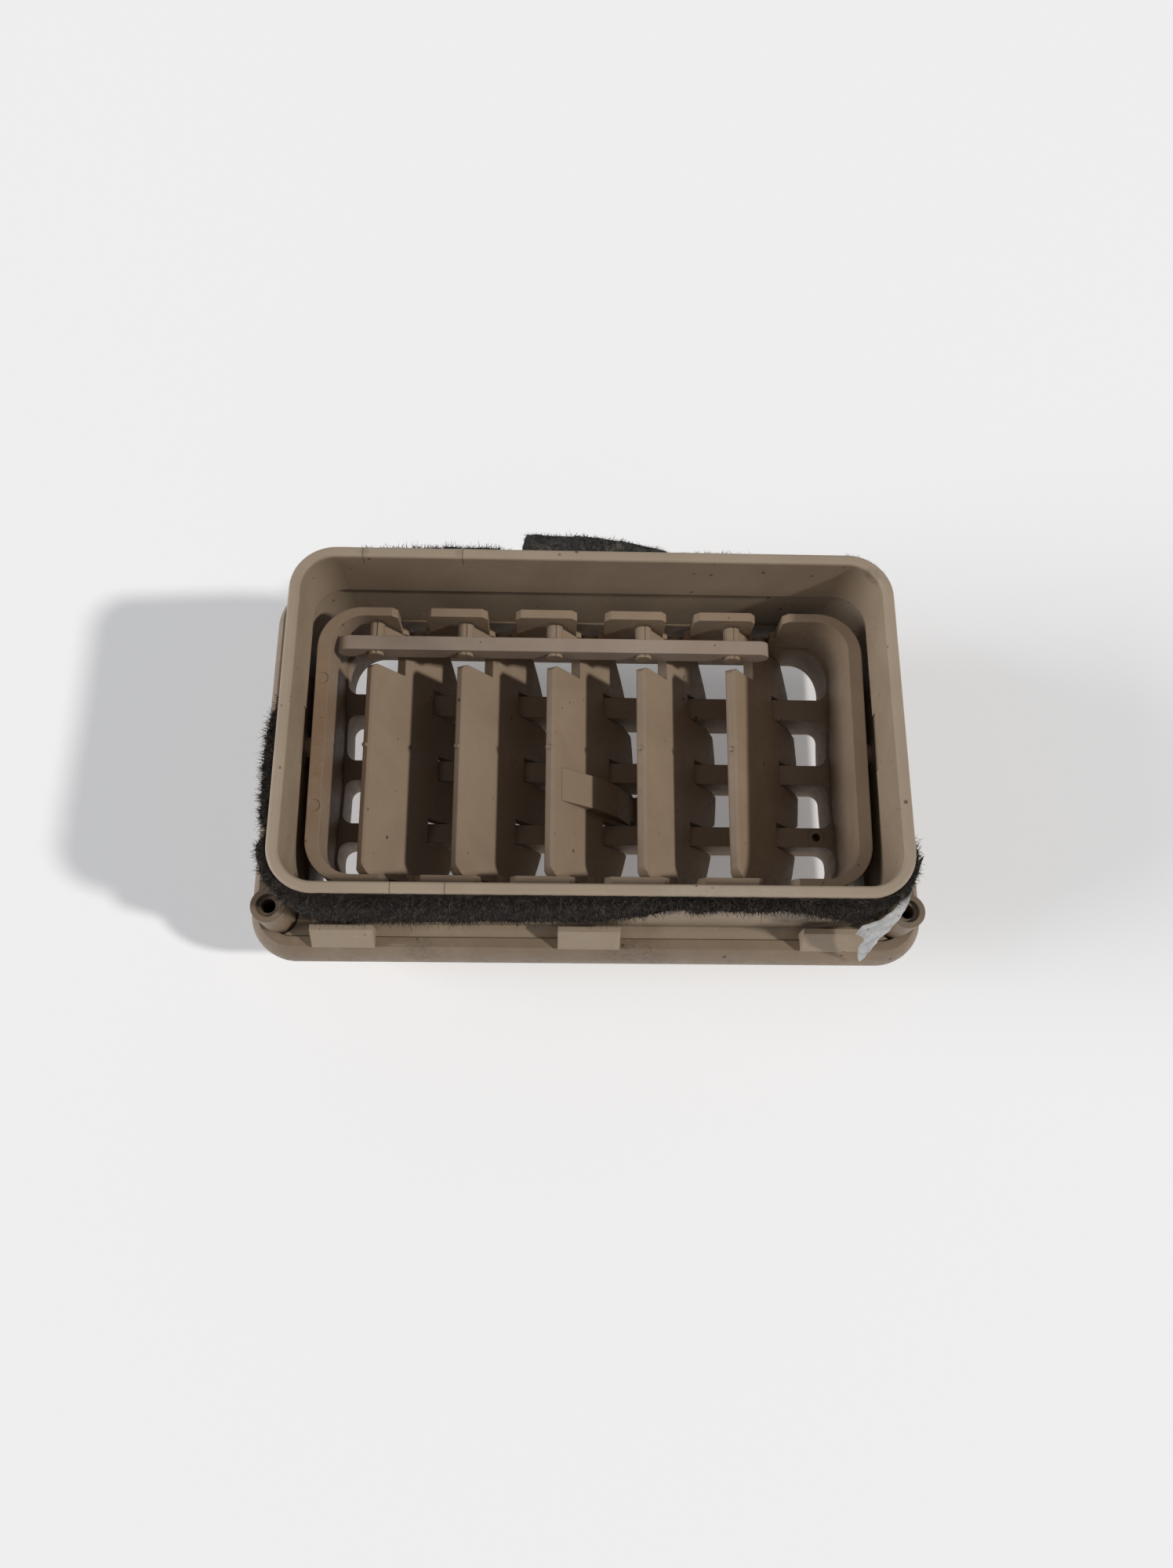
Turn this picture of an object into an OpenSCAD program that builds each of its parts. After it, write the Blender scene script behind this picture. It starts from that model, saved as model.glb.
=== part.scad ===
// Rectangular air vent with a tilting louvre frame.
// The duct side faces +Z and the front face points down, towards the floor plane Z = 0.
// X runs along the long side of the vent, and Y along its short side.

/* [Housing] */
// Outside width of the duct collar
collar_w = 134; // [126:0.5:150]
// Outside height of the duct collar
collar_h = 78.7; // [76:0.1:90]
// Outside corner radius of the collar
collar_r = 10; // [8:0.5:14]
// Wall thickness near the rear rim
rim_wall = 2.5; // [2:0.1:3]
// Wall thickness of the lower part of the collar
low_wall = 1.6; // [1.2:0.1:1.8]
// Depth from the rear rim to the step inside the wall
step_depth = 16; // [12:0.5:18]
// Depth from the rear rim to the front of the bezel
vent_depth = 51; // [50:0.5:54]

/* [Bezel] */
// Width of the opening in the bezel
opening_w = 129.2; // [128:0.1:131]
// Height of the opening in the bezel
opening_h = 74.6; // [74:0.1:76]
// Height of the bezel from its front to its rear rim
bezel_d = 20; // [19:0.5:21]
// Width of the frame face beside the opening, on the long sides
lip_w = 9.6; // [9:0.1:10]
// Thickness of the bezel's rear rim
lip_wall = 2.2; // [1.8:0.1:2.4]

/* [Screw bosses] */
// Distance between the two screw holes
boss_span = 140.4; // [138:0.1:142]
// Distance of the screw holes from the middle of the vent
boss_y = 37.8; // [37:0.1:38.5]
// Outside diameter of a boss
boss_d = 7.6; // [6.5:0.1:8]
// Diameter of the screw hole
screw_hole_d = 3.2; // [2.5:0.1:4]
// Depth of the screw hole
screw_hole_depth = 14; // [8:1:15]

/* [Tilting frame] */
// Outside width of the tilting frame
frame_w = 126.3; // [124:0.1:127]
// Outside height of the tilting frame
frame_h = 65.2; // [64:0.1:66]
// Angle of the frame at rest, far side raised
frame_tilt = 3.4; // [0:0.1:10]
// Diameter of the frame's two hinge pins
hinge_pin_d = 4.9; // [4:0.1:5]
// Spacing of the cross bars
bar_pitch = 16.25; // [16:0.05:16.5]

/* [Vanes] */
// Spacing of the vanes
vane_pitch = 20.95; // [20.5:0.05:21]
// Lean of the vanes at rest, rear edge towards -X
vane_lean = 33.8; // [30:0.1:36]
// Thickness of a vane
vane_t = 2.5; // [2:0.1:2.6]
// Distance from a vane's pivot to its rear edge
vane_rear = 17.1; // [16.5:0.1:17.2]
// Distance from a vane's pivot to the middle of its front edge
vane_front = 19.4; // [18:0.1:19.5]
// Diameter of a vane's pivot pins
pivot_d = 4.6; // [4:0.1:4.6]

/* [Seal] */
// Width of the felt strip round the collar
felt_w = 18.4; // [10:0.2:18.4]
// Thickness of the felt strip
felt_t = 2; // [1:0.1:2.5]
// Thickness of the foam strip on the far side
foam_t = 4.9; // [3:0.1:6]

/* [Hidden] */
$fn = 64;
eps = 0.01;

tan_light = [0.73, 0.68, 0.61];
tan_dark = [0.62, 0.56, 0.49];
tan_warm = [0.70, 0.62, 0.52];
felt_grey = [0.22, 0.21, 0.21];
foam_grey = [0.30, 0.28, 0.27];

// Bezel profile: two arcs meet where the bezel is widest.
wide_z = 14;
front_arc_r = 14;
side_arc_r = 9;
shell_t = 2.3;
ref_hw = 67.9;
ref_hh = opening_h / 2;
ref_r = 1;
opening_r = 6;
sleeve_t = 2;
sleeve_top = bezel_d - 2.5;
rim_in = lip_w - side_arc_r + sqrt(pow(side_arc_r, 2) - pow(bezel_d - wide_z, 2)) - lip_wall;
boss_top = vent_depth - 19.8;
boss_foot = 6;

// Housing flange and the catches that hold the bezel's rim.
flange_gap = 0.2;
flange_t = 1.8;
catch_w = 14;
catch_x = 55;
catch_top = sleeve_top + 8.2;
catch_out = 7.7;

// Tilting frame, in its own coordinates: the tilt axis is at the origin, +Z to the rear.
axis_depth = 23.5;
bush_d = 7;
frame_rear = 6;
frame_r = 10;
side_wall = 3.1;
long_wall = 2.1;
grille_front = 30.5;
front_r = 60;
grille_rear = 18.9;
rear_r = 63;
bar_half = 2.5;
bars = 3;
window_w = 119;
window_r = 8;
fillet_r = 2.5;
inner_w = frame_w - 2 * side_wall;
inner_h = frame_h - 2 * long_wall;
window_h = inner_h - 0.6;

// Vanes: the pivot axis lies in front of the tilt axis.
vanes = 5;
pivot_z = -11;
pivot_reach = frame_h / 2 - 0.3;
pivot_play = 0.05;
notch_w = 6.6;
vane_half = inner_h / 2 - 0.6;
vane_arc_r = 55;
slot_from = 19.8;
slot_to = 26.7;
slot_floor = 6;

// Crank pins and the tie bar that joins the vanes.
crank_r = 15.3;
crank_d = 3.8;
crank_play = 0.1;
tie_from = 22.8;
tie_to = 26.2;
tie_up = 2.7;
tie_down = 2.3;
tie_end = 8.6;
crank_x = -crank_r * sin(vane_lean);
crank_z = pivot_z + crank_r * cos(vane_lean);

// Lever on the middle vane and the knob at its tip.
lever_y = -8.1;
lever_w = 7.8;
knob_r = 3.4;
knob_reach = 24.5;
knob_w = 7.6;

// Felt strip: full thickness on the near side, worn thin along the short sides.
seal_drop = 1.2;
seal_gap = 0.05;
seal_split = -26;
worn_t = 0.9;
worn_drop = 6;

// The knob's tip touches the floor plane, so its reach sets the height of the bezel.
knob_low = (-pivot_z + knob_reach * cos(vane_lean) + knob_r) * cos(frame_tilt)
           + (knob_w / 2 - lever_y) * sin(frame_tilt);
front_z = knob_low - (vent_depth - axis_depth);
rim_z = front_z + vent_depth;
axis_z = rim_z - axis_depth;

function vane_x(i) = (i - 2) * vane_pitch;
function bar_y(i) = (i - (bars + 1) / 2) * bar_pitch;

// ---- Helpers ----

// Flat rounded rectangle, centred.
module rounded(w, h, r) {
    square([w - 2 * r, h], center = true);
    square([w, h - 2 * r], center = true);
    for (x = [-1, 1], y = [-1, 1]) {
        translate([x * (w / 2 - r), y * (h / 2 - r)]) circle(r = r);
    }
}

// Sweeps a profile round a rounded rectangle. Profile x is the distance out, and y is height.
module swept_ring(half_w, half_h, r) {
    for (side = [0, 1]) {
        rotate([0, 0, 180 * side]) {
            translate([half_w, 0, 0]) rotate([90, 0, 0])
                linear_extrude(2 * (half_h - r), center = true) children();
            rotate([0, 0, 90]) translate([half_h, 0, 0]) rotate([90, 0, 0])
                linear_extrude(2 * (half_w - r), center = true) children();
            translate([half_w - r, half_h - r, 0])
                rotate_extrude(angle = 90) translate([r, 0]) children();
            translate([half_w - r, r - half_h, 0])
                rotate([0, 0, -90]) rotate_extrude(angle = 90) translate([r, 0]) children();
        }
    }
}

// Cylinder along X or Y, centred.
module rod_x(d, len) {
    rotate([0, 90, 0]) cylinder(d = d, h = len, center = true);
}

module rod_y(d, len) {
    rotate([90, 0, 0]) cylinder(d = d, h = len, center = true);
}

// Extrudes a flat outline drawn in Y and Z along X, centred.
module along_x(len) {
    rotate([90, 0, 90]) linear_extrude(len, center = true) children();
}

// Extrudes a flat outline drawn in X and Z along Y, from y0 to y1.
module along_y(y0, y1) {
    translate([0, y1, 0]) rotate([90, 0, 0]) linear_extrude(y1 - y0) children();
}

// Places things given in the tilting frame's own coordinates.
module on_frame() {
    translate([0, 0, axis_z]) rotate([frame_tilt, 0, 0]) children();
}

// ---- Housing ----

// Section of the collar wall: thick and round-edged at the rim, thin below the step.
module collar_section() {
    edge = 0.7;
    step_z = vent_depth - step_depth;
    translate([-low_wall, sleeve_top]) square([low_wall, step_z - sleeve_top + 1]);
    translate([-rim_wall, step_z]) square([rim_wall, step_depth - edge]);
    translate([edge - rim_wall, step_z]) square([rim_wall - 2 * edge, step_depth]);
    for (x = [edge - rim_wall, -edge]) {
        translate([x, vent_depth - edge]) circle(r = edge);
    }
}

// Wedge-shaped catch over the bezel's rear rim, drawn as distance out from the middle and height.
module catch_section() {
    root = ref_hh + rim_in - flange_gap;
    polygon([[root - 1.4, sleeve_top], [root, sleeve_top], [root, bezel_d + 0.2],
             [ref_hh + catch_out, bezel_d + 0.2], [ref_hh + catch_out, bezel_d + 0.8],
             [root - 0.2, catch_top], [root - 1.4, catch_top]]);
}

module flange() {
    out = rim_in - flange_gap;
    difference() {
        translate([0, 0, sleeve_top]) linear_extrude(flange_t) difference() {
            rounded(2 * (ref_hw + out), 2 * (ref_hh + out), ref_r + out);
            rounded(collar_w - 2 * low_wall, collar_h - 2 * low_wall, collar_r - low_wall);
        }
        for (x = [-1, 1]) {
            translate([x * boss_span / 2, -boss_y, sleeve_top])
                cylinder(d = boss_d + 0.8, h = 3 * flange_t, center = true);
        }
    }
}

module duct_housing() {
    bore_len = 10;
    relief_w = 13.5;
    color(tan_light) translate([0, 0, front_z]) difference() {
        union() {
            swept_ring(collar_w / 2, collar_h / 2, collar_r) collar_section();
            flange();
            for (x = [-catch_x, 0, catch_x], side = [0, 1]) {
                rotate([0, 0, 180 * side]) translate([x, 0, 0]) along_x(catch_w) catch_section();
            }
        }
        for (x = [-1, 1]) {
            translate([x * collar_w / 2, 0, vent_depth - axis_depth]) rod_x(bush_d + 0.05, bore_len);
            translate([x * (collar_w / 2 - rim_wall), 0, vent_depth - step_depth])
                cube([2 * (rim_wall - low_wall), relief_w, 4], center = true);
        }
    }
}

// ---- Bezel ----

module bezel_section() {
    difference() {
        union() {
            intersection() {
                translate([lip_w - front_arc_r, wide_z]) circle(r = front_arc_r);
                square([lip_w + 1, wide_z]);
            }
            intersection() {
                translate([lip_w - side_arc_r, wide_z]) circle(r = side_arc_r);
                translate([0, wide_z - eps]) square([lip_w + 1, bezel_d - wide_z + eps]);
            }
        }
        translate([-1, sleeve_top]) square([rim_in + 1, bezel_d]);
        intersection() {
            translate([sleeve_t, 3]) square([rim_in - sleeve_t, bezel_d]);
            union() {
                translate([lip_w - front_arc_r, wide_z]) circle(r = front_arc_r - shell_t);
                translate([0, wide_z]) square([lip_w, bezel_d]);
            }
        }
    }
}

module opening_cheeks() {
    lead = 0.45;
    translate([0, 0, lead]) linear_extrude(sleeve_top - lead) difference() {
        rounded(2 * ref_hw + 0.6, 2 * ref_hh + 0.6, ref_r + 0.3);
        rounded(opening_w, opening_h, opening_r);
    }
}

module bezel() {
    sink = 0.9;
    sink_d = 5;
    color(tan_dark) translate([0, 0, front_z]) difference() {
        union() {
            swept_ring(ref_hw, ref_hh, ref_r) bezel_section();
            opening_cheeks();
            for (x = [-1, 1]) {
                translate([x * boss_span / 2, -boss_y, boss_foot])
                    cylinder(d = boss_d, h = boss_top - boss_foot);
            }
        }
        for (x = [-1, 1]) {
            translate([x * boss_span / 2, -boss_y, 0]) {
                translate([0, 0, boss_top - screw_hole_depth])
                    cylinder(d = screw_hole_d, h = screw_hole_depth + 1);
                translate([0, 0, boss_top - sink]) cylinder(d = sink_d, h = sink + 1);
            }
        }
    }
}

// ---- Bushes that carry the tilting frame's hinge pins ----

module pivot_bush() {
    flange_d = 8.6;
    flange_len = 0.9;
    difference() {
        union() {
            translate([(collar_w - low_wall) / 2, 0, 0]) rod_x(bush_d, low_wall);
            translate([(collar_w + flange_len) / 2, 0, 0]) rod_x(flange_d, flange_len);
        }
        translate([collar_w / 2, 0, 0]) rod_x(hinge_pin_d + 0.1, 12);
    }
}

module pivot_bush_right() {
    color("ivory") translate([0, 0, axis_z]) pivot_bush();
}

module pivot_bush_left() {
    color("ivory") translate([0, 0, axis_z]) mirror([1, 0, 0]) pivot_bush();
}

// ---- Tilting frame with its fixed grille ----

// Solid behind a curved face of radius r that bulges depth in front of the tilt axis.
module arc_block(r, depth) {
    translate([0, 0, r - depth]) rod_x(2 * r, 2 * frame_w);
}

// Outline of the window next to a long wall: y runs from the last bar to the wall.
module wall_window(h) {
    half = window_w / 2;
    translate([window_r - half, 0]) square([2 * (half - window_r), h]);
    translate([fillet_r - half, 0]) square([2 * (half - fillet_r), h - window_r]);
    translate([-half, fillet_r]) square([2 * half, h - window_r - fillet_r]);
    for (s = [0, 1]) {
        mirror([s, 0]) {
            translate([half - window_r, h - window_r]) intersection() {
                circle(r = window_r);
                square([2 * window_r, 2 * window_r]);
            }
            translate([half - fillet_r, fillet_r]) circle(r = fillet_r);
        }
    }
}

// Notch in a long wall with a round seat for a vane's pivot.
module notch_section() {
    half = notch_w / 2;
    top = frame_rear + 0.1;
    floor_z = pivot_z + 5.9;
    throat = pivot_d / 2 - 0.25;
    polygon([[-half - 1.3, top], [-half, top - 1.6], [-half, floor_z], [-throat, floor_z - 0.8],
             [-throat, pivot_z], [throat, pivot_z], [throat, floor_z - 0.8], [half, floor_z],
             [half, top - 1.6], [half + 1.3, top]]);
    translate([0, pivot_z]) circle(d = pivot_d + 2 * pivot_play);
}

module frame_shell() {
    difference() {
        intersection() {
            translate([0, 0, -grille_front - 1])
                linear_extrude(grille_front + 1 + frame_rear) rounded(frame_w, frame_h, frame_r);
            arc_block(front_r, grille_front);
        }
        intersection() {
            translate([0, 0, -grille_front]) linear_extrude(2 * grille_front)
                rounded(inner_w, inner_h, frame_r - 2.5);
            arc_block(rear_r, grille_rear);
        }
        for (side = [0, 1]) {
            rotate([0, 0, 180 * side]) {
                translate([0, bar_pitch / 2, -1.5 * grille_front]) linear_extrude(1.5 * grille_front)
                    rounded(window_w, bar_pitch - 2 * bar_half, fillet_r);
                translate([0, bar_pitch + bar_half, -1.5 * grille_front])
                    linear_extrude(1.5 * grille_front)
                    wall_window(window_h / 2 - bar_pitch - bar_half);
            }
        }
    }
}

module tilt_frame() {
    mark_d = 2.7;
    stud_x = 55.6;
    stud_z = rear_r - grille_rear - sqrt(pow(rear_r, 2) - pow(bar_pitch, 2));
    pin_len = 3.6;
    color(tan_warm) on_frame() {
        difference() {
            union() {
                frame_shell();
                for (x = [-1, 1]) {
                    translate([x * (frame_w + pin_len) / 2, 0, 0]) rod_x(hinge_pin_d, pin_len + 1);
                }
                translate([stud_x, -bar_pitch, stud_z - 1.5]) cylinder(d = 3.9, h = 1.8);
            }
            for (i = [0 : vanes - 1], side = [-1, 1]) {
                translate([vane_x(i), 0, 0])
                    along_y(side * frame_h / 2 - 3.2, side * frame_h / 2 + 3.2) notch_section();
            }
            for (y = [-1, 1]) {
                translate([-(frame_w - side_wall) / 2, y * 15, frame_rear - 0.12])
                    cylinder(d = mark_d, h = 1);
            }
            translate([stud_x, -bar_pitch, stud_z - 3]) cylinder(d = 2, h = 6);
        }
    }
}

// ---- Vanes ----

// Outline of a vane in Y and distance from its pivot, + to the rear.
module vane_outline() {
    corner = 3;
    difference() {
        intersection() {
            translate([-vane_half, -vane_front]) square([2 * vane_half, vane_rear + vane_front]);
            translate([0, vane_arc_r - vane_front]) circle(r = vane_arc_r, $fn = 180);
        }
        translate([slot_from, slot_floor]) square([slot_to - slot_from, vane_rear]);
        translate([-vane_half, vane_rear]) corner_cut(corner);
        translate([slot_from, vane_rear]) mirror([1, 0]) corner_cut(corner / 2);
        for (i = [1 : bars]) {
            translate([bar_y(i), i == 2 ? -7.5 : -4.6]) finger_gap(i == 2 ? 12 : 12.4);
        }
    }
}

// Square corner less its rounding, to cut from the corner at the origin, inwards and down.
module corner_cut(r) {
    difference() {
        translate([-eps, -r]) square([r, r + eps]);
        translate([r, -r]) circle(r = r);
    }
}

// Gap between two fingers of a vane, wide enough for a bar and open through the front edge.
module finger_gap(deep) {
    half = bar_half + 0.6;
    out = deep + 2;
    for (s = [-1, 1]) {
        polygon([[0, 0], [s * half, 0], [s * half, 2.6 - deep], [s * (half + 0.7), 0.9 - deep],
                 [s * (half + 1.9), -out], [0, -out]]);
    }
}

// One vane in its own coordinates, pivot on the Y axis, upright.
module vane_body() {
    hub_d = 5.6;
    hub_len = 2;
    nub = 0.5;
    difference() {
        union() {
            along_x(vane_t) vane_outline();
            for (s = [-1, 1]) {
                translate([0, s * (vane_half - hub_len / 2), 0]) rod_y(hub_d, hub_len);
                translate([0, s * (pivot_reach + vane_half) / 2, 0])
                    rod_y(pivot_d, pivot_reach - vane_half + 1);
            }
            translate([0, (tie_from - 0.7 + slot_to + 0.5) / 2, crank_r])
                rod_y(crank_d, slot_to - tie_from + 1.2);
            translate([0, (slot_to + vane_half) / 2, crank_r]) rod_y(crank_d, vane_half - slot_to);
            translate([0, 0, vane_rear]) cylinder(d = 1.2, h = 2 * nub, center = true);
        }
        for (s = [-1, 1]) {
            translate([s * vane_t / 2, 0, vane_rear]) rotate([0, 45, 0])
                cube([0.9, 3 * vane_half, 0.9], center = true);
        }
    }
}

// Lever on the middle vane: a wedge on its +X face that runs forward through the grille.
module lever_section() {
    root = -knob_reach + 7.5;
    polygon([[0, 13.5], [vane_t / 2 + 0.1, 13.5], [3.6, 2], [3.6, -8], [1.6, root], [1.6, -knob_reach],
             [-1.6, -knob_reach], [-1.6, root], [-vane_t / 2, -8], [-vane_t / 2, 2]]);
}

module place_vane(i) {
    on_frame() translate([vane_x(i), 0, pivot_z]) rotate([0, -vane_lean, 0]) children();
}

module vane(i) {
    color(tan_light) place_vane(i) vane_body();
}

module lever_vane() {
    color(tan_light) place_vane(2) union() {
        vane_body();
        along_y(lever_y - lever_w / 2, lever_y + lever_w / 2) intersection() {
            lever_section();
            translate([-10, -knob_reach + 7.5]) square([20, 40]);
        }
        along_y(lever_y - lever_w / 2 + 1, lever_y + lever_w / 2 - 1) lever_section();
    }
}

// ---- Tie bar ----

module tie_outline() {
    first = vane_x(0);
    last = vane_x(vanes - 1);
    end_r = (tie_up + tie_down) / 2;
    difference() {
        union() {
            translate([first - tie_end + end_r, -tie_down])
                square([last - first + 2 * (tie_end - end_r), tie_up + tie_down]);
            for (x = [first - tie_end + end_r, last + tie_end - end_r]) {
                translate([x, (tie_up - tie_down) / 2]) circle(r = end_r);
            }
            for (i = [0 : vanes - 1]) {
                translate([vane_x(i), 0]) circle(r = 3.2);
            }
        }
        for (i = [0 : vanes - 1]) {
            translate([vane_x(i), 0]) circle(d = crank_d + 2 * crank_play);
        }
        translate([first - 20, tie_up]) square([last - first + 40, 5]);
    }
}

module tie_bar() {
    color(tan_dark) on_frame() translate([crank_x, 0, crank_z])
        along_y(tie_from, tie_to) tie_outline();
}

// ---- Finger knob ----

module finger_knob() {
    play = 0.05;
    groove_r = 0.45;
    color(tan_dark) place_vane(2) translate([0, lever_y, 0]) difference() {
        union() {
            translate([0, 0, -knob_reach]) rod_y(2 * knob_r, knob_w);
            translate([0, 0, -knob_reach + 2.5]) cube([5.4, knob_w, 5], center = true);
        }
        translate([0, 0, -knob_reach + 3])
            cube([3.2 + 2 * play, lever_w - 2 + 2 * play, 6 + 2 * play], center = true);
        for (a = [-50, -17, 17, 50]) {
            translate([knob_r * sin(a), 0, -knob_reach - knob_r * cos(a)]) rod_y(2 * groove_r, 20);
        }
    }
}

// ---- Seal strips round the collar ----

module seal_band(t, w, top) {
    translate([0, 0, rim_z - top - w]) linear_extrude(w) difference() {
        rounded(collar_w + 2 * t, collar_h + 2 * t, collar_r + t);
        rounded(collar_w + 2 * seal_gap, collar_h + 2 * seal_gap, collar_r + seal_gap);
    }
}

// Keeps the part of the seal between two corners of a box in plan.
module seal_cut(x0, x1, y0, y1) {
    intersection() {
        children();
        translate([x0, y0, 0]) cube([x1 - x0, y1 - y0, 2 * rim_z]);
    }
}

module seal_near() {
    color(felt_grey) seal_cut(-80, 80, -50, seal_split) seal_band(felt_t, felt_w, seal_drop);
}

module seal_left() {
    color(felt_grey) seal_cut(-80, -40, seal_split, 4) seal_band(felt_t, 17, seal_drop);
}

module seal_right() {
    color(felt_grey) seal_cut(40, 80, seal_split, 29) seal_band(worn_t, 12, worn_drop);
}

module seal_far_felt() {
    color(felt_grey) seal_cut(-52, -19, 30, 50) seal_band(felt_t, felt_w, seal_drop);
}

module seal_far_foam() {
    color(foam_grey) seal_cut(-16, 17, 30, 50) seal_band(foam_t, felt_w, seal_drop);
}

duct_housing();
bezel();
pivot_bush_left();
pivot_bush_right();
tilt_frame();
vane(0);  // vane_1
vane(1);  // vane_2
lever_vane();  // vane_3
vane(3);  // vane_4
vane(4);  // vane_5
tie_bar();
finger_knob();
seal_near();
seal_left();
seal_right();
seal_far_felt();
seal_far_foam();
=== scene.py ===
"""Looks for the dashboard air vent. Places are in millimetres until MM turns them into metres."""

import math
import random

import bpy
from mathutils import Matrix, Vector, noise


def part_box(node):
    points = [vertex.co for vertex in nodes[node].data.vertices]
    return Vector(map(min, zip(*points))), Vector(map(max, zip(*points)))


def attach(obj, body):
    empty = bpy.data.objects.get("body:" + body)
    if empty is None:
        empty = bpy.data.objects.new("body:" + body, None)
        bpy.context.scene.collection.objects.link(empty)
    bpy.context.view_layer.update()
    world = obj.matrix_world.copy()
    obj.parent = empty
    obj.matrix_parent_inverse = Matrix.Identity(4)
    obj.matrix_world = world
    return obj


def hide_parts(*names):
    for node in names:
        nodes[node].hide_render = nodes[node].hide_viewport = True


MM = 0.001
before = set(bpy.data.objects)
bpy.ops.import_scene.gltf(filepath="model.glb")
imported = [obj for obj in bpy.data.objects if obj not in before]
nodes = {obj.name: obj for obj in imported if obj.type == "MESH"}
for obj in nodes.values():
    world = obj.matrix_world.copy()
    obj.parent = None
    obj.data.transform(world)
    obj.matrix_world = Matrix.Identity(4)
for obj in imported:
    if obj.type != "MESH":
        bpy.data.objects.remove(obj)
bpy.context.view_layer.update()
rng = random.Random(11)

RIM_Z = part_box("duct_housing")[1].z / MM
FLOOR_Z = 0.0
FLOOR_GAP = 0.0002
FLOOR_HALF = 3.0

# Collar of the duct housing, which the seal strips go round.
COLLAR_HALF_X = 67.0
COLLAR_HALF_Y = 39.35
COLLAR_R = 10.0


# ---- Camera, lights and floor ----

def add_camera():
    """Camera above the near side, at the photograph's viewing angle. Its place is counted from the rim."""
    place = (-7.807, -92.587, 233.206)
    turn = (18.229, -1.630, 0.185)
    data = bpy.data.cameras.new("camera")
    data.sensor_fit = "VERTICAL"
    data.sensor_height = 36
    data.lens = 27
    data.clip_start = 0.01
    camera = bpy.data.objects.new("camera", data)
    bpy.context.collection.objects.link(camera)
    camera.location = Vector((place[0], place[1], place[2] + RIM_Z)) * MM
    camera.rotation_euler = [math.radians(angle) for angle in turn]
    bpy.context.scene.camera = camera


def add_sun(name, toward, energy, spread, colour):
    """Far light that comes from the direction toward, spread over that many degrees."""
    data = bpy.data.lights.new(name, "SUN")
    data.energy = energy
    data.angle = math.radians(spread)
    data.color = colour
    sun = bpy.data.objects.new(name, data)
    bpy.context.collection.objects.link(sun)
    sun.rotation_euler = Vector(toward).to_track_quat("Z", "Y").to_euler()


def add_lights():
    """A key from the right, a broad soft light low on the left, and a dim, even studio around them."""
    add_sun("key", (1.14, -0.29, 1.0), 1.7, 4, (1.0, 0.97, 0.93))
    add_sun("left_window", (-1.0, -0.1, 0.36), 1.9, 34, (0.98, 0.98, 1.0))
    world = bpy.data.worlds.new("studio")
    bpy.context.scene.world = world
    world.use_nodes = True
    background = world.node_tree.nodes["Background"]
    background.inputs["Color"].default_value = (0.93, 0.95, 1.0, 1)
    background.inputs["Strength"].default_value = 0.18
    bpy.context.scene.view_settings.view_transform = "Standard"


def add_floor():
    half = FLOOR_HALF
    mesh = bpy.data.meshes.new("studio_floor")
    corners = [(-half, -half, 0), (half, -half, 0), (half, half, 0), (-half, half, 0)]
    mesh.from_pydata(corners, [], [(0, 1, 2, 3)])
    floor = bpy.data.objects.new("studio_floor", mesh)
    bpy.context.collection.objects.link(floor)
    floor.location.z = FLOOR_Z - FLOOR_GAP
    material, _, shader = new_material("pale_floor")
    shader.inputs["Base Color"].default_value = (0.95, 0.95, 0.95, 1)
    shader.inputs["Roughness"].default_value = 0.9
    shader.inputs["Emission Color"].default_value = (0.95, 0.97, 1.0, 1)
    shader.inputs["Emission Strength"].default_value = 0.19
    mesh.materials.append(material)


# ---- Materials ----

def new_material(name):
    material = bpy.data.materials.new(name)
    material.use_nodes = True
    tree = material.node_tree
    return material, tree, tree.nodes["Principled BSDF"]


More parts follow.
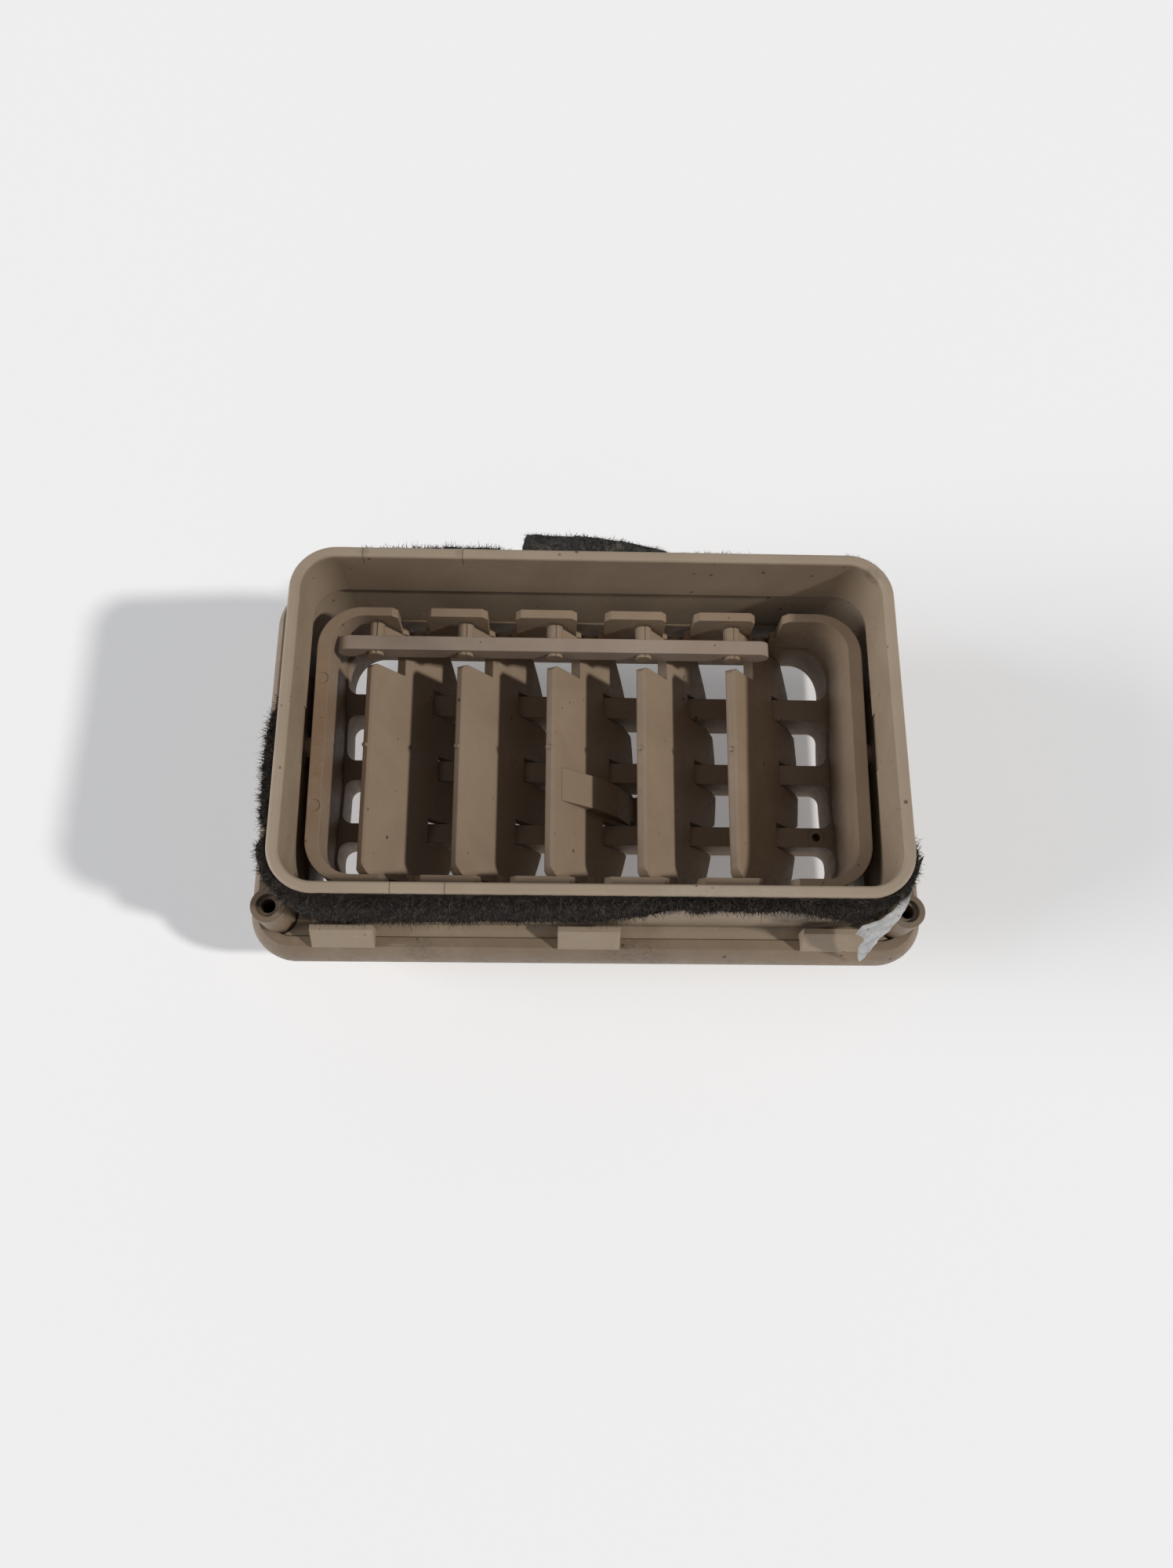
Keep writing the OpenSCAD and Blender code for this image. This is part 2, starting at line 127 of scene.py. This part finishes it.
class Graph:
    """Short calls that add shader nodes to one material and return their output sockets."""

    def __init__(self, name):
        self.material, self.tree, self.shader = new_material(name)
        self.place = self.node("ShaderNodeTexCoord").outputs["Object"]

    def node(self, kind, **settings):
        made = self.tree.nodes.new(kind)
        for key, value in settings.items():
            setattr(made, key, value)
        return made

    def feed(self, socket, value):
        if isinstance(value, bpy.types.NodeSocket):
            self.tree.links.new(value, socket)
        elif isinstance(value, tuple) and len(value) == 3 and socket.type == "RGBA":
            socket.default_value = (*value, 1)
        else:
            socket.default_value = value

    def stretched(self, scale):
        made = self.node("ShaderNodeVectorMath", operation="MULTIPLY")
        self.feed(made.inputs[0], self.place)
        made.inputs[1].default_value = scale
        return made.outputs[0]

    def noise(self, scale, detail=3.0, rough=0.55, place=None, warp=0.0):
        made = self.node("ShaderNodeTexNoise")
        self.feed(made.inputs["Vector"], place or self.place)
        made.inputs["Scale"].default_value = scale
        made.inputs["Detail"].default_value = detail
        made.inputs["Roughness"].default_value = rough
        made.inputs["Distortion"].default_value = warp
        return made.outputs["Fac"]

    def ramp(self, value, low, high, out_low=0.0, out_high=1.0):
        """value between low and high becomes out_low to out_high, smoothly."""
        made = self.node("ShaderNodeMapRange", interpolation_type="SMOOTHSTEP")
        self.feed(made.inputs["Value"], value)
        for key, number in (("From Min", low), ("From Max", high), ("To Min", out_low), ("To Max", out_high)):
            made.inputs[key].default_value = number
        return made.outputs["Result"]

    def math(self, operation, a, b=0.0, c=0.0):
        made = self.node("ShaderNodeMath", operation=operation)
        for socket, value in zip(made.inputs, (a, b, c)):
            self.feed(socket, value)
        return made.outputs[0]

    def mix(self, amount, a, b, blend="MIX"):
        made = self.node("ShaderNodeMix", data_type="RGBA", blend_type=blend)
        self.feed(made.inputs["Factor"], amount)
        self.feed(made.inputs["A"], a)
        self.feed(made.inputs["B"], b)
        return made.outputs["Result"]

    def specks(self, scale, radius, share):
        """1 inside small round specks, in about that share of the cells."""
        cells = self.node("ShaderNodeTexVoronoi")
        self.feed(cells.inputs["Vector"], self.place)
        cells.inputs["Scale"].default_value = scale
        red = self.node("ShaderNodeSeparateColor")
        self.feed(red.inputs["Color"], cells.outputs["Color"])
        dot = self.ramp(cells.outputs["Distance"], radius, radius * 0.4)
        return self.math("MULTIPLY", dot, self.math("LESS_THAN", red.outputs["Red"], share))

    def patch(self, centre, radius, soft=0.6):
        """1 near centre, fading out at radius. centre and radius are in millimetres."""
        away = self.node("ShaderNodeVectorMath", operation="DISTANCE")
        self.feed(away.inputs[0], self.place)
        away.inputs[1].default_value = Vector(centre) * MM
        return self.ramp(away.outputs["Value"], radius * MM, radius * MM * (1 - soft))

    def axis(self, name):
        """Distance along X, Y or Z, in metres."""
        apart = self.node("ShaderNodeSeparateXYZ")
        self.feed(apart.inputs["Vector"], self.place)
        return apart.outputs[name]

    def rim_band(self, amount):
        """amount on the top of the rear rim, 0 below it; it paints light onto the rim's top."""
        return self.ramp(self.axis("Z"), (RIM_Z - 1.2) * MM, (RIM_Z - 0.3) * MM, 0.0, amount)

    def seam(self, x, y):
        """Thin dirty line across the rim at x, on the side of the collar where y is."""
        away = self.math("ABSOLUTE", self.math("SUBTRACT", self.axis("X"), x * MM))
        line = self.ramp(away, 0.22 * MM, 0.06 * MM)
        line = self.math("MULTIPLY", line, self.patch((x, y, RIM_Z), 4.5, 0.3))
        return self.math("MULTIPLY", line, 0.55)

    def bump(self, height, strength, depth_mm, under=None):
        made = self.node("ShaderNodeBump")
        made.inputs["Strength"].default_value = strength
        made.inputs["Distance"].default_value = depth_mm * MM
        self.feed(made.inputs["Height"], height)
        if under is not None:
            self.feed(made.inputs["Normal"], under)
        return made.outputs["Normal"]

    def rounded_edges(self, radius_mm):
        made = self.node("ShaderNodeBevel", samples=4)
        made.inputs["Radius"].default_value = radius_mm * MM
        return made.outputs["Normal"]

    def crevice_shade_mask(self, reach_mm):
        """1 in corners and crevices, 0 on open faces: the mask for painted shade and dirt there."""
        made = self.node("ShaderNodeAmbientOcclusion", samples=4, only_local=True)
        made.inputs["Distance"].default_value = reach_mm * MM
        return self.ramp(made.outputs["AO"], 0.85, 0.35)


DUST = (0.36, 0.31, 0.25)
# Dark brown for dirt, seams and specks, and also for painted shade in corners and a painted shadow.
DIRT_AND_SHADE = (0.055, 0.038, 0.028)


def moulded_plastic(name, light, dark, corner_shade_and_dirt=0.5, scuffs=0.35, marks=(), gloss=0.52, seams=(),
                    painted_rim_light=False):
    """Aged, matt moulded plastic: mottled colour, fine grain, dust, scuffs, and dirt with painted shade in the
    corners.
    """
    g = Graph(name)
    mottle = g.ramp(g.noise(38, 5, 0.6, warp=0.6), 0.3, 0.7)
    colour = g.mix(mottle, dark, light)
    fine = g.noise(520, 4, 0.7)
    colour = g.mix(g.ramp(fine, 0.35, 0.75, 0.0, 0.22), colour, dark)
    dusty = g.math("MULTIPLY", g.ramp(g.noise(150, 5, 0.75), 0.52, 0.72), g.ramp(g.noise(24, 2), 0.4, 0.65))
    colour = g.mix(g.math("MULTIPLY", dusty, 0.35), colour, DUST)
    streaks = g.noise(1.0, 4, 0.7, place=g.stretched((60, 900, 900)))
    scuffed = g.math("MULTIPLY", g.ramp(streaks, 0.62, 0.7), g.ramp(g.noise(45, 2), 0.5, 0.62))
    colour = g.mix(g.math("MULTIPLY", scuffed, scuffs), colour, (0.52, 0.46, 0.38))
    grey = g.noise(900, 3, 0.8)
    for centre, radius, tone, amount in marks:
        worn = g.math("MULTIPLY", g.patch(centre, radius), g.ramp(grey, 0.15, 0.8))
        colour = g.mix(g.math("MULTIPLY", worn, amount), colour, tone)
    # Painted light: the top of the rear rim is made lighter, as if lit more.
    if painted_rim_light:
        colour = g.mix(g.rim_band(0.25), colour, (0.58, 0.48, 0.37))
    for x, y in seams:
        colour = g.mix(g.seam(x, y), colour, DIRT_AND_SHADE)
    # Painted shade with dirt: corners found by ambient occlusion are darkened.
    patchy = g.ramp(g.noise(210, 4, 0.7), 0.3, 0.75, 0.35, 1.0)
    corners = g.math("MULTIPLY", g.crevice_shade_mask(4.0), g.math("MULTIPLY", patchy, corner_shade_and_dirt))
    colour = g.mix(corners, colour, DIRT_AND_SHADE)
    spots = g.math("MAXIMUM", g.specks(260, 0.16, 0.10), g.specks(620, 0.2, 0.05))
    colour = g.mix(g.math("MULTIPLY", spots, 0.8), colour, DIRT_AND_SHADE)
    g.feed(g.shader.inputs["Base Color"], colour)
    g.feed(g.shader.inputs["Roughness"], g.ramp(fine, 0.3, 0.7, gloss - 0.06, gloss + 0.14))
    g.shader.inputs["Specular IOR Level"].default_value = 0.38
    edges = g.rounded_edges(0.35)
    waves = g.bump(g.noise(70, 2), 0.25, 0.25, edges)
    grain = g.bump(g.noise(2600, 3, 0.6), 0.22, 0.06, waves)
    g.feed(g.shader.inputs["Normal"], grain)
    return g.material


def felt(name, dark, light, pale_share=0.25):
    """Matted, dusty fibres."""
    g = Graph(name)
    tangle = g.noise(1300, 5, 0.8, warp=1.5)
    clumps = g.noise(260, 4, 0.7)
    colour = g.mix(g.ramp(tangle, 0.42, 0.72), dark, light)
    colour = g.mix(g.ramp(clumps, 0.5, 0.75, 0.0, pale_share), colour, DUST)
    g.feed(g.shader.inputs["Base Color"], colour)
    g.shader.inputs["Roughness"].default_value = 0.95
    g.shader.inputs["Specular IOR Level"].default_value = 0.1
    g.shader.inputs["Sheen Weight"].default_value = 0.06
    g.shader.inputs["Sheen Roughness"].default_value = 0.6
    g.feed(g.shader.inputs["Normal"], g.bump(tangle, 0.9, 0.6))
    return g.material


def fibre(name, dark, light):
    """Loose fibres: each one has its own shade between dark and light."""
    g = Graph(name)
    shade = g.node("ShaderNodeNewGeometry").outputs["Random Per Island"]
    g.feed(g.shader.inputs["Base Color"], g.mix(g.ramp(shade, 0.5, 1.0), dark, light))
    g.shader.inputs["Roughness"].default_value = 0.8
    g.shader.inputs["Specular IOR Level"].default_value = 0.2
    return g.material


def paper(name):
    """Dirty white tape backing with dark specks."""
    g = Graph(name)
    colour = g.mix(g.ramp(g.noise(420, 4, 0.7), 0.35, 0.7), (0.40, 0.40, 0.40), (0.60, 0.60, 0.60))
    dirt = g.math("MAXIMUM", g.specks(700, 0.3, 0.35), g.ramp(g.noise(1500, 3, 0.8), 0.66, 0.72))
    colour = g.mix(g.math("MULTIPLY", dirt, 0.85), colour, (0.09, 0.08, 0.08))
    g.feed(g.shader.inputs["Base Color"], colour)
    g.shader.inputs["Roughness"].default_value = 0.75
    g.feed(g.shader.inputs["Normal"], g.bump(g.noise(900, 4, 0.7), 0.5, 0.15))
    return g.material


def dress(node, material):
    """Gives a CAD node its material."""
    slots = nodes[node].data.materials
    slots.clear()
    slots.append(material)


def dress_cad():
    rim = RIM_Z
    near = -COLLAR_HALF_Y
    housing_marks = [
        ((24, near, rim), 14, (0.58, 0.53, 0.46), 0.32),
        ((38, near, rim), 6, (0.58, 0.53, 0.46), 0.28),
        # Dark patch on the near wall at x 45, below the torn felt: a painted shadow.
        ((45, near, rim - 20.5), 8, DIRT_AND_SHADE, 0.9),
        ((-51, 38, rim), 1.4, DIRT_AND_SHADE, 0.6),
        ((-30, 38, rim), 1.2, DIRT_AND_SHADE, 0.5),
        ((62, 34, rim - 1), 3, DIRT_AND_SHADE, 0.6),
    ]
    tan_light = (0.40, 0.315, 0.225)
    tan_dark = (0.33, 0.25, 0.175)
    seams = [(-41.2, -37.4), (-30.1, -37.4), (-29.2, 38.6), (-51.3, 38.6)]
    dress("duct_housing", moulded_plastic("housing_plastic", tan_light, tan_dark, 0.5, 0.3, housing_marks,
                                          seams=seams, painted_rim_light=True))
    bezel_marks = [
        ((10, -46, rim - 35), 12, DIRT_AND_SHADE, 0.45),
        ((58, -45, rim - 36), 9, (0.30, 0.18, 0.10), 0.5),
        ((-38, -44, rim - 33), 6, DIRT_AND_SHADE, 0.4),
    ]
    dress("bezel", moulded_plastic("bezel_plastic", (0.285, 0.213, 0.146), (0.225, 0.164, 0.11), 0.7, 0.3,
                                   bezel_marks, 0.46))
    frame_marks = [((-61, 0, rim - 17), 26, (0.30, 0.175, 0.095), 0.7)]
    dress("tilt_frame", moulded_plastic("frame_plastic", (0.36, 0.268, 0.187), (0.295, 0.212, 0.143),
                                        0.5, 0.25, frame_marks))
    vane_plastic = moulded_plastic("vane_plastic", (0.36, 0.27, 0.19), (0.305, 0.222, 0.152), 0.4, 0.2)
    for number in range(1, 6):
        dress("vane_%d" % number, vane_plastic)
    dress("tie_bar", moulded_plastic("link_plastic", (0.41, 0.325, 0.265), (0.34, 0.26, 0.205), 0.35, 0.25))
    dress("finger_knob", moulded_plastic("knob_plastic", (0.30, 0.235, 0.17), (0.25, 0.19, 0.13), 0.4, 0.3))
    bush_plastic = moulded_plastic("bush_plastic", (0.58, 0.54, 0.47), (0.50, 0.46, 0.39), 0.4, 0.2)
    for side in ("left", "right"):
        dress("pivot_bush_" + side, bush_plastic)


# ---- Pieces ----

def add_piece(name, points, faces, material, body="housing"):
    """A mesh piece from points in millimetres, which rides on a body."""
    mesh = bpy.data.meshes.new(name)
    mesh.from_pydata([Vector(p) * MM for p in points], [], faces)
    mesh.validate()
    mesh.materials.append(material)
    mesh.polygons.foreach_set("use_smooth", [True] * len(mesh.polygons))
    piece = bpy.data.objects.new(name, mesh)
    bpy.context.collection.objects.link(piece)
    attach(piece, body)
    return piece


# Depth below the rim where the seal strips thin out to a film, and how thin they get.
FILM_FROM, FILM_TO, FILM_SHARE = 14.0, 19.0, 0.45
# Gap between a strip's back and the collar, its least thickness, and its rows of points.
BACK_GAP, LEAST_OUT, STRIP_ROWS = 0.04, 0.12, 40
# Half widths of a fibre at its root, middle and tip, and how deep its root is sunk.
FIBRE_HALF = (0.06, 0.05, 0.025)
FIBRE_SUNK = 0.15


def round_collar(s, out, far=False):
    """Point at distance out from the collar's face, and the outward direction there.
    s runs along the face in millimetres from the middle of the near (or far) side, + towards +X."""
    flat = COLLAR_HALF_X - COLLAR_R
    arc = COLLAR_R * math.pi / 2
    sign = 1 if s >= 0 else -1
    run = abs(s)
    if run <= flat:
        x, y, nx, ny = run, -COLLAR_HALF_Y, 0.0, -1.0
    elif run <= flat + arc:
        turn = (run - flat) / COLLAR_R
        nx, ny = math.sin(turn), -math.cos(turn)
        x, y = flat + COLLAR_R * nx, COLLAR_R - COLLAR_HALF_Y + COLLAR_R * ny
    else:
        x, y, nx, ny = COLLAR_HALF_X, COLLAR_R - COLLAR_HALF_Y + run - flat - arc, 1.0, 0.0
    up = -1 if far else 1
    normal = Vector((sign * nx, up * ny, 0))
    return Vector((sign * x, up * y, 0)) + normal * out, normal


def blend_points(points, s):
    """Straight-line interpolation in a list of (s, value)."""
    if s <= points[0][0]:
        return points[0][1]
    for (s0, v0), (s1, v1) in zip(points, points[1:]):
        if s <= s1:
            return v0 + (v1 - v0) * (s - s0) / (s1 - s0)
    return points[-1][1]


def rough(x, y, z, size):
    """Smooth noise from -1 to 1 with features of about that size in millimetres."""
    return noise.noise(Vector((x, y, z)) / size)


class Strip:
    """A torn strip stuck round the collar. top and bottom are depths below the rim, thick is its thickness.
    tear is how ragged its edges are."""

    def __init__(self, start, end, top, bottom, thick, far=False, seed=0.0, tear=1.0):
        self.start, self.end = start, end
        self.top, self.bottom, self.thick = top, bottom, thick
        self.far, self.seed, self.tear = far, seed, tear

    def surface(self, s, t):
        """Outer surface at s along the strip and t from 0 at the top edge to 1 at the bottom edge."""
        top = blend_points(self.top, s) + 0.45 * self.tear * rough(s, 3.0, self.seed, 1.6)
        ragged = rough(s, 9.0, self.seed, 3.0) + 0.7 * rough(s, 5.0, self.seed, 0.9)
        bottom = blend_points(self.bottom, s) + 0.8 * self.tear * ragged
        depth = top + (bottom - top) * t
        edge = min(t, 1 - t) * (bottom - top)
        along = min(s - self.start, self.end - s)
        taper = min(1.0, 0.25 + edge / (2.2 * self.tear)) * min(1.0, 0.2 + along / (3.0 * self.tear))
        film = blend_points([(FILM_FROM, 1.0), (FILM_TO, FILM_SHARE)], depth)
        fluff = 0.35 * rough(s, depth, self.seed, 2.6) + 0.28 * rough(s, depth, self.seed + 7, 0.9)
        fluff *= self.tear
        body = blend_points(self.thick, s) * taper * film * (1 + 0.5 * fluff)
        out = max(LEAST_OUT, body + 0.25 * fluff * taper)
        point, normal = round_collar(s, out, self.far)
        point.z = RIM_Z - depth
        return point, normal

    def mesh(self, name, material, slot, step=0.55):
        columns = max(3, round((self.end - self.start) / step))
        rows = STRIP_ROWS
        outer, inner = [], []
        for i in range(columns + 1):
            s = self.start + (self.end - self.start) * i / columns
            for j in range(rows + 1):
                point = self.surface(s, j / rows)[0]
                outer.append(point)
                back = round_collar(s, BACK_GAP, self.far)[0]
                inner.append(Vector((back.x, back.y, point.z)))
        stride = rows + 1
        shift = len(outer)
        faces = []
        for i in range(columns):
            for j in range(rows):
                a, b = i * stride + j, i * stride + j + 1
                c, d = b + stride, a + stride
                faces.append((a, b, c, d))
                faces.append((shift + a, shift + d, shift + c, shift + b))
        rim_loop = [i * stride for i in range(columns + 1)]
        rim_loop += [columns * stride + j for j in range(1, rows + 1)]
        rim_loop += [i * stride + rows for i in range(columns - 1, -1, -1)]
        rim_loop += [j for j in range(rows - 1, 0, -1)]
        for a, b in zip(rim_loop, rim_loop[1:] + rim_loop[:1]):
            faces.append((a, b, shift + b, shift + a))
        if self.far:
            faces = [tuple(reversed(face)) for face in faces]
        return add_piece(name, outer + inner, faces, material)

    def fibres(self, name, material, slot, count, length):
        """Short loose fibres that stand out of the strip, most of them near its edges."""
        points, faces = [], []
        for k in range(count):
            s = rng.uniform(self.start, self.end)
            t = rng.random()
            if rng.random() < 0.35:
                t = 0.12 * t if rng.random() < 0.6 else 1 - 0.1 * t
            root, normal = self.surface(s, t)
            along = Vector((-normal.y, normal.x, 0))
            grow = normal * rng.uniform(0.2, 1.0) + along * rng.gauss(0, 0.6)
            grow += Vector((0, 0, rng.gauss(0.15, 0.55)))
            grow.normalize()
            reach = length * rng.uniform(0.4, 1.0)
            bend = Vector((rng.gauss(0, 1), rng.gauss(0, 1), rng.gauss(0, 1))) * 0.35 * reach
            side = grow.cross(bend + Vector((0.01, 0.02, 0.03))).normalized()
            root = root - normal * FIBRE_SUNK
            spine = [root, root + grow * reach * 0.5 + bend * 0.4, root + grow * reach + bend]
            up = side.cross(grow).normalized()
            base = len(points)
            for spot, half in zip(spine, FIBRE_HALF):
                points += [spot - side * half, spot + side * half, spot + up * half]
            for a in (base, base + 3):
                faces += [(a, a + 1, a + 4, a + 3), (a + 1, a + 2, a + 5, a + 4), (a + 2, a, a + 3, a + 5)]
            faces += [(base + 2, base + 1, base), (base + 6, base + 7, base + 8)]
        return add_piece(name, points, faces, material)


def add_seals():
    grey = felt("felt_grey", (0.011, 0.008, 0.006), (0.050, 0.036, 0.028), 0.14)
    hair = fibre("felt_fibre", (0.012, 0.010, 0.009), (0.16, 0.125, 0.09))
    spongy = felt("foam_grey", (0.022, 0.020, 0.019), (0.15, 0.14, 0.125), 0.4)
    torn_edge = [(-76, 21), (-66, 23), (-59, 27), (-44, 27), (-25, 26), (-8, 25), (3, 24), (9, 19),
                 (12.5, 13), (15, 9.5), (19, 8), (22, 12), (27, 8.5), (34, 10.5), (40, 8.5), (47, 12), (52, 16),
                 (57, 22), (64, 25), (70, 21), (76, 20)]
    near = Strip(-76, 76, [(-76, 1.0), (0, 1.0), (76, 1.2)], torn_edge,
                 [(-76, 2.2), (-55, 2.1), (-20, 1.7), (20, 1.5), (57, 1.6), (66, 1.4), (76, 0.8)])
    left = Strip(-106, -76.2, [(-106, 3.0), (-90, 2.0), (-76, 1.2)], [(-106, 14), (-96, 19), (-76, 20)],
                 [(-106, 1.2), (-98, 2.6), (-88, 2.8), (-76, 2.0)], seed=31.0)
    right = Strip(76.2, 130, [(76, 5.5), (130, 6.5)], [(76, 18), (100, 17), (130, 15)],
                  [(76, 0.7), (130, 0.6)], seed=57.0)
    far_felt = Strip(-52, -19, [(-52, 1.4), (-19, 1.2)], [(-52, 18), (-40, 20), (-19, 19)],
                     [(-52, 0.5), (-46, 0.9), (-36, 1.6), (-22, 1.7), (-19, 0.8)], far=True, seed=83.0)
    far_foam = Strip(-16, 17, [(-16, 1.2), (17, 1.2)], [(-16, 20), (17, 19)],
                     [(-16, 4.7), (-2, 4.6), (7, 3.4), (14, 1.8), (17, 0.9)], far=True, seed=97.0,
                     tear=0.3)
    residue = Strip(17.3, 36, [(17, 1.6), (36, 2.2)], [(17, 12), (28, 9), (36, 6)],
                    [(17, 0.7), (25, 0.9), (36, 0.4)], far=True, seed=121.0)
    corner = Strip(57, 67, [(57, 1.6), (67, 2.4)], [(57, 7), (62, 10), (67, 7)],
                   [(57, 0.4), (62, 1.0), (67, 0.4)], far=True, seed=143.0)
    work = [
        (near, "seal_near", "torn_felt_near", grey, "grey_felt", 12000, 1.5),
        (left, "seal_left", "torn_felt_left", grey, "grey_felt", 3000, 1.6),
        (right, "seal_right", "torn_felt_right", grey, "grey_felt", 1800, 0.9),
        (far_felt, "seal_far_felt", "torn_felt_far", grey, "grey_felt", 2400, 1.2),
        (far_foam, "seal_far_foam", "torn_foam_far", spongy, "grey_foam", 2600, 0.9),
    ]
    for strip, node, name, material, slot, count, length in work:
        piece = strip.mesh(name, material, slot)
        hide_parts(node)
        strip.fibres(name + "_fibres", hair, slot, count, length)
    for strip, name, count in ((residue, "felt_residue_far", 1100), (corner, "felt_residue_corner", 700)):
        strip.mesh(name, grey, "grey_felt")
        strip.fibres(name + "_fibres", hair, "grey_felt", count, 1.1)


def add_tape():
    """Scrap of dirty white tape: round the right near corner, over a catch and down to the bezel."""
    left = [(69.3, -29.8, 8.5), (68.2, -35.4, 14.4), (64.3, -39.6, 11.0), (61.0, -41.8, 10.2),
            (57.4, -43.0, 10.6), (56.4, -44.3, 12.8), (59.0, -45.0, 15.5), (58.6, -46.0, 20.4),
            (60.0, -46.7, 26.5), (61.5, -46.9, 31.5)]
    right = [(69.7, -29.4, 4.0), (69.2, -35.0, 12.6), (67.8, -38.6, 13.6), (66.2, -41.1, 15.4),
             (64.6, -42.8, 16.8), (63.0, -44.2, 18.2), (62.4, -45.3, 21.5), (62.0, -46.2, 25.0),
             (61.9, -46.8, 29.2), (61.8, -46.9, 31.8)]
    fine, wide = 6, 8
    points = []
    spans = len(left) - 1
    for i in range(spans * fine + 1):
        k, f = min(i // fine, spans - 1), i / fine - min(i // fine, spans - 1)
        a = Vector(left[k]).lerp(Vector(left[k + 1]), f)
        b = Vector(right[k]).lerp(Vector(right[k + 1]), f)
        for j in range(wide + 1):
            spot = a.lerp(b, j / wide)
            spot.z = RIM_Z - spot.z
            ripple = 0.18 * rough(*spot, 2.5)
            spot += Vector((0.3, -0.8, 0.2)) * ripple
            if j in (0, wide):
                spot += (b - a).normalized() * 0.3 * rough(*spot, 0.8) * min(1.0, (b - a).length)
            points.append(spot)
    stride = wide + 1
    faces = []
    for i in range(spans * fine):
        for j in range(wide):
            a = i * stride + j
            faces.append((a, a + 1, a + 1 + stride, a + stride))
    tape = add_piece("tape_scrap", points, faces, paper("dirty_tape"))
    solid = tape.modifiers.new("thickness", "SOLIDIFY")
    solid.thickness = 0.12 * MM


add_camera()
add_lights()
add_floor()
dress_cad()
add_seals()
add_tape()
